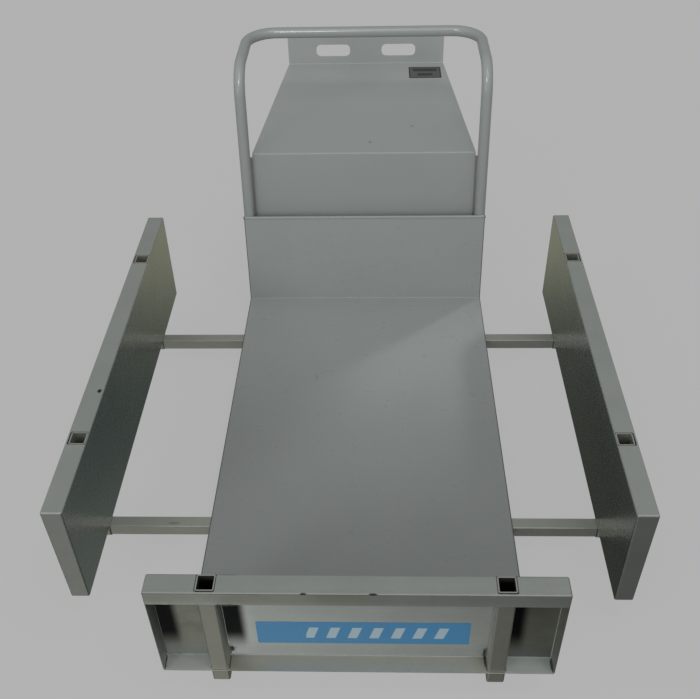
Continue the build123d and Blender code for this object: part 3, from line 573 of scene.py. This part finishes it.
def disc(name, radius, z, rings):
    bm = bmesh.new()
    centre = bm.verts.new((0, 0.3, z))
    last = None
    for k in range(1, rings + 1):
        r = radius * (k / rings) ** 1.5
        ring = [bm.verts.new((r * math.cos(a * math.tau / 96), 0.3 + r * math.sin(a * math.tau / 96), z)) for a in range(96)]
        for a in range(96):
            b = (a + 1) % 96
            if last is None:
                bm.faces.new((centre, ring[a], ring[b]))
            else:
                bm.faces.new((last[a], ring[a], ring[b], last[b]))
        last = ring
    me = bpy.data.meshes.new(name)
    bm.to_mesh(me)
    bm.free()
    o = bpy.data.objects.new(name, me)
    SCENE.collection.objects.link(o)
    return o


floor = disc("stage_floor", 14.0, -0.0008, 8)
m = bpy.data.materials.new("stage_floor")
m.use_nodes = True
g = Graph(m.node_tree)
glow = g.node("ShaderNodeEmission", {"Color": (1, 1, 1, 1), "Strength": FLOOR_GLOW})
dif = g.node("ShaderNodeBsdfDiffuse", {"Color": (FLOOR_ALBEDO,) * 3 + (1,)})
add = g.node("ShaderNodeAddShader", {0: glow.outputs[0], 1: dif.outputs[0]})
clear = g.node("ShaderNodeBsdfTransparent")
back = g.node("ShaderNodeNewGeometry").outputs["Backfacing"]
mixed = g.node("ShaderNodeMixShader", {0: back, 1: add.outputs[0], 2: clear.outputs[0]})
out = g.node("ShaderNodeOutputMaterial", {0: mixed.outputs[0]})
floor.data.materials.append(m)
floor.visible_glossy = floor.visible_shadow = False

# a dome that only the camera sees, so that every view has the same pale ground
bm = bmesh.new()
bmesh.ops.create_icosphere(bm, subdivisions=4, radius=14.2)
me = bpy.data.meshes.new("stage_dome")
bm.to_mesh(me)
bm.free()
dome = bpy.data.objects.new("stage_dome", me)
SCENE.collection.objects.link(dome)
m = bpy.data.materials.new("stage_dome")
m.use_nodes = True
g = Graph(m.node_tree)
glow = g.node("ShaderNodeEmission", {"Color": (1, 1, 1, 1), "Strength": 0.445})
g.node("ShaderNodeOutputMaterial", {0: glow.outputs[0]})
dome.data.materials.append(m)
dome.visible_glossy = dome.visible_diffuse = dome.visible_shadow = dome.visible_transmission = False

# the room: even for the paint, with darker and lighter walls for what the metal mirrors
world = bpy.data.worlds.new("studio")
SCENE.world = world
world.use_nodes = True
world.cycles.sampling_method = "NONE"
g = Graph(world.node_tree)
d = g.node("ShaderNodeTexCoord").outputs["Generated"]
dx, dy, dz = g.xyz(d)
h = g.span(dz, -1.0, 1.0, 0.0, 1.0, smooth=False)
rear = g.ramp(h, [(0.0, (0.11, 0.12, 0.11)), (0.1226, (0.125, 0.14, 0.125)), (0.143, (0.06, 0.075, 0.072)), (0.1786, (0.028, 0.04, 0.042)),
                  (0.206, (0.10, 0.11, 0.09)), (0.2277, (0.26, 0.26, 0.195)), (0.289, (0.30, 0.30, 0.235)), (0.5, (0.31, 0.315, 0.30)),
                  (0.711, (0.335, 0.345, 0.335)), (0.904, (0.335, 0.345, 0.335)), (1.0, (0.38, 0.39, 0.385))])
left = g.math("MULTIPLY", g.span(dx, -0.12, 0.05, 1.0, 0.0), g.span(h, 0.17, 0.225, 1.0, 0.0))
rear = g.mix(left, rear, (0.034, 0.038, 0.033, 1))
fore = g.ramp(h, [(0.0, (0.05, 0.05, 0.048)), (0.08, (0.05, 0.05, 0.048)), (0.30, (0.05, 0.05, 0.048)), (0.5, (0.08, 0.08, 0.077)),
                  (0.75, (0.46, 0.465, 0.455)), (0.95, (0.70, 0.71, 0.70)), (1.0, (0.46, 0.47, 0.465))])
gloss = g.mix(g.span(dy, -0.30, 0.30, 0.0, 1.0), fore, rear)
even = g.mix(g.span(dy, -1.0, 1.0, 0.0, 1.0, smooth=False), (0.60, 0.605, 0.59, 1), (0.22, 0.225, 0.22, 1))
even = times(g, even, g.math("SUBTRACT", 1.14, g.math("MULTIPLY", g.math("MULTIPLY", dx, dx), 0.55)))
path = g.node("ShaderNodeLightPath")
col = g.mix(path.outputs["Is Glossy Ray"], even, gloss)
bg = g.node("ShaderNodeBackground", {"Color": col, "Strength": 1.0})
g.node("ShaderNodeOutputWorld", {0: bg.outputs[0]})


def lit_only(light, objects):
    c = bpy.data.collections.new(light.name + "_lights")
    for o in objects:
        c.objects.link(o)
    light.light_linking.receiver_collection = c


def area(name, aim, azimuth, elevation, distance, size, watts, colour=(1, 1, 1)):
    """A soft round lamp; azimuth runs from the front (-Y) to the right (+X)."""
    a, e = math.radians(azimuth), math.radians(elevation)
    way = Vector((math.sin(a) * math.cos(e), -math.cos(a) * math.cos(e), math.sin(e)))
    l = bpy.data.lights.new(name, "AREA")
    l.shape = "DISK"
    l.size = size
    l.energy = watts
    l.color = colour
    o = bpy.data.objects.new(name, l)
    o.location = Vector(aim) + way * distance
    o.rotation_euler = way.to_track_quat("Z", "Y").to_euler()
    o.visible_camera = False
    SCENE.collection.objects.link(o)
    return o


area("key", (0, 0, 0.2), -38, 22, 4.5, 1.1, 18, (1.0, 0.985, 0.96))
area("overhead", (0, 0, 0.3), 35, 64, 4.0, 0.6, 8, (0.97, 0.99, 1.0))
GATE_POSTS = [NODES["gate_left_post"], NODES["gate_right_post"]]
GATE_SHEET = [NODES["front_gate"], NODES["gate_decal"], bpy.data.objects["gate_welds"]]
ARMS = [o for o in METAL if o.name.endswith("_arm")]
LEFT = [o for o in METAL if o.name.startswith("left") and o not in ARMS]
RIGHT = [o for o in METAL if o.name.startswith("right") and o not in ARMS]
WARM, COOL = (1.0, 0.985, 0.90), (0.975, 0.99, 0.975)
for name, things, side, height, watts, colour in (
        ("low_gate", GATE_SHEET, -25, -45, 27, COOL), ("low_posts", GATE_POSTS, -25, -45, 9.5, WARM), ("low_arms", ARMS, -25, -42, 6, WARM),
        ("low_left", LEFT, -30, -40, 7, WARM), ("low_right", RIGHT, -10, -45, 4.8, WARM)):
    low = area(name, (0, -0.7, 0.2), side, height, 4.0, 0.9, watts, colour)
    low.data.use_shadow = name != "low_gate"
    lit_only(low, things)
lit_only(area("hood_fill", (0, 0.9, 0.5), 0, 65, 3.0, 1.2, 8, (0.98, 1.0, 1.0)), [NODES["engine_hood"], NODES["guard_hoop"]])
lit_only(area("hoop_front", (0, 0.75, 0.5), -12, 44, 3.0, 0.5, 21, (1.0, 1.0, 0.98)), [NODES["guard_hoop"]])

l = bpy.data.lights.new("gap", "SPOT")
l.energy = 136
l.spot_size = math.radians(12.6)
l.spot_blend = 0.9
l.shadow_soft_size = 0.23
gap = bpy.data.objects.new("gap", l)
aim = Vector((0.205, 0.185, 0.0885))
way = Vector((0.695 * math.cos(0.6), 0.719 * math.cos(0.6), math.sin(0.6)))
gap.location = aim + way * 2.2
gap.rotation_euler = (way.to_track_quat("Z", "Y") @ Quaternion((0, 0, 1), math.radians(40.5))).to_euler()
gap.scale = (0.48, 1.0, 1.0)
gap.visible_camera = gap.visible_glossy = False
SCENE.collection.objects.link(gap)
lit_only(gap, [NODES["floor_pan"]])

cam = bpy.data.cameras.new("camera")
cam.sensor_width = 36.0
cam.sensor_fit = "HORIZONTAL"
cam.lens = 46.66
cam.clip_start, cam.clip_end = 0.02, 60.0
camera = bpy.data.objects.new("camera", cam)
SCENE.collection.objects.link(camera)
yaw, pitch, roll = -0.0422, 0.6947, 0.0283
fwd = Vector((math.sin(yaw) * math.cos(pitch), math.cos(yaw) * math.cos(pitch), -math.sin(pitch)))
right = Vector((math.cos(yaw), -math.sin(yaw), 0))
down = fwd.cross(right)
r2 = math.cos(roll) * right + math.sin(roll) * down
d2 = -math.sin(roll) * right + math.cos(roll) * down
mat = Matrix((r2, -d2, -fwd)).transposed().to_4x4()
mat.translation = Vector((0.0436, -1.6682, 1.7178))
camera.matrix_world = mat
SCENE.camera = camera

SCENE.view_settings.view_transform = "Standard"
SCENE.view_settings.look = "None"
SCENE.view_settings.exposure = 0.0
SCENE.view_settings.gamma = 1.0
